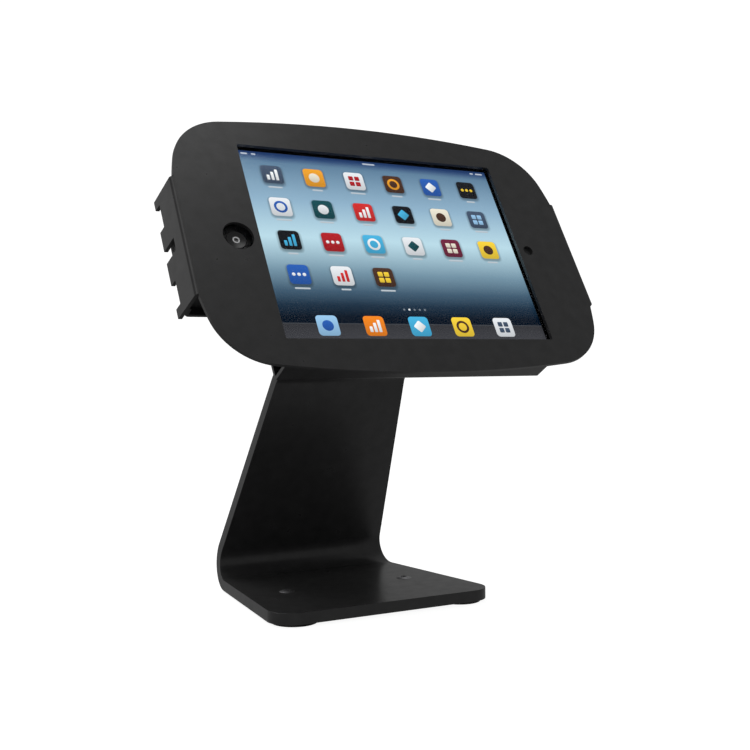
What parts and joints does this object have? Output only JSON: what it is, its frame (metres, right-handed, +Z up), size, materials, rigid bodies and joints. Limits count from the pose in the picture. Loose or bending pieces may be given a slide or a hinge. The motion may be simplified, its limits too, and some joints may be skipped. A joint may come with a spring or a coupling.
{
  "type": "tablet kiosk stand",
  "caption": "Locking tablet enclosure with a rounded face plate on a bent sheet-metal counter stand, swivelling on a friction pivot.",
  "frame": {"origin": "under the middle of the whole object, on the surface the feet stand on", "axes": "+X to the right seen from the front, +Y to the back, +Z up"},
  "size_m": [0.2472, 0.1718, 0.2738],
  "materials": {
    "powder_black": "satin powder coat",
    "screw_black": "black oxide",
    "zinc_steel": "zinc plated",
    "lock_chrome": "bright plated",
    "friction_nylon": "plain nylon",
    "foot_rubber": "matt rubber",
    "foam_black": "closed-cell foam",
    "block_plastic": "moulded",
    "tablet_shell": "anodised grey",
    "key_metal": "anodised grey",
    "cover_glass": "clear gloss",
    "border_black": "black print under glass",
    "screen_blue": "lit display, blue field",
    "button_black": "gloss",
    "lens_glass": "dark lens"
  },
  "bodies": {
    "stand": {"stand_sheet": "powder_black", "foot_front_left": "foot_rubber", "foot_front_right": "foot_rubber", "foot_rear_left": "foot_rubber", "foot_rear_right": "foot_rubber", "foot_screw_front_left": "zinc_steel", "foot_screw_front_right": "zinc_steel", "foot_screw_rear_left": "zinc_steel", "foot_screw_rear_right": "zinc_steel", "base_screw_left": "screw_black", "base_screw_right": "screw_black", "friction_disc": "friction_nylon"},
    "head": {"faceplate": "powder_black", "rear_tray": "powder_black", "rotor_plate": "powder_black", "keeper_left": "powder_black", "keeper_right": "powder_black", "hook_bracket": "powder_black", "rotor_screw_1": "zinc_steel", "rotor_screw_2": "zinc_steel", "rotor_screw_3": "zinc_steel", "rotor_screw_4": "zinc_steel", "pivot_bolt": "zinc_steel", "pivot_washer": "zinc_steel", "spring_washer": "zinc_steel", "pivot_nut": "zinc_steel", "stop_pin": "zinc_steel", "hook_screw_lower": "zinc_steel", "hook_screw_upper": "zinc_steel", "lock_housing": "lock_chrome", "lock_nut": "lock_chrome", "gasket_top": "foam_black", "gasket_bottom": "foam_black", "rear_pad_1": "foam_black", "rear_pad_2": "foam_black", "rear_pad_3": "foam_black", "rear_pad_4": "foam_black", "camera_blank": "block_plastic", "end_block_left_upper": "block_plastic", "end_block_left_lower": "block_plastic", "end_block_right_upper": "block_plastic", "end_block_right_lower": "block_plastic", "tablet_case": "tablet_shell", "tablet_glass": "cover_glass", "tablet_border": "border_black", "display_panel": "screen_blue", "front_camera": "lens_glass", "rear_camera": "lens_glass"},
    "lock": {"lock_plug": "lock_chrome", "lock_cam": "zinc_steel", "lock_cam_screw": "zinc_steel"},
    "home_button_body": {"home_button": "button_black"},
    "power_button_body": {"power_button": "key_metal"},
    "volume_down_button_body": {"volume_down_button": "key_metal"},
    "volume_up_button_body": {"volume_up_button": "key_metal"}
  },
  "joints": [
    {"name": "head_swivel", "type": "hinge", "parent": "stand", "child": "head", "pos_m": [0, -0.04511, 0.20442], "axis": [0, -0.862, 0.5069], "range_deg": [-90, 90]},
    {"name": "lock_turn", "type": "hinge", "parent": "head", "child": "lock", "pos_m": [0.106, -0.04511, 0.20442], "axis": [0, -0.862, 0.5069], "range_deg": [0, 90]},
    {"name": "home_button_press", "type": "slide", "parent": "head", "child": "home_button_body", "axis": [0, 0.862, -0.5069], "range_m": [0, 0.0004], "stiffness_N_per_m": 1500, "springref_m": -0.0003},
    {"name": "power_button_press", "type": "slide", "parent": "head", "child": "power_button_body", "axis": [-1, 0, 0], "range_m": [0, 0.0004], "stiffness_N_per_m": 1500, "springref_m": -0.0003},
    {"name": "volume_down_press", "type": "slide", "parent": "head", "child": "volume_down_button_body", "axis": [0, 0.5069, 0.862], "range_m": [0, 0.0004], "stiffness_N_per_m": 1500, "springref_m": -0.0003},
    {"name": "volume_up_press", "type": "slide", "parent": "head", "child": "volume_up_button_body", "axis": [0, 0.5069, 0.862], "range_m": [0, 0.0004], "stiffness_N_per_m": 1500, "springref_m": -0.0003}
  ]
}
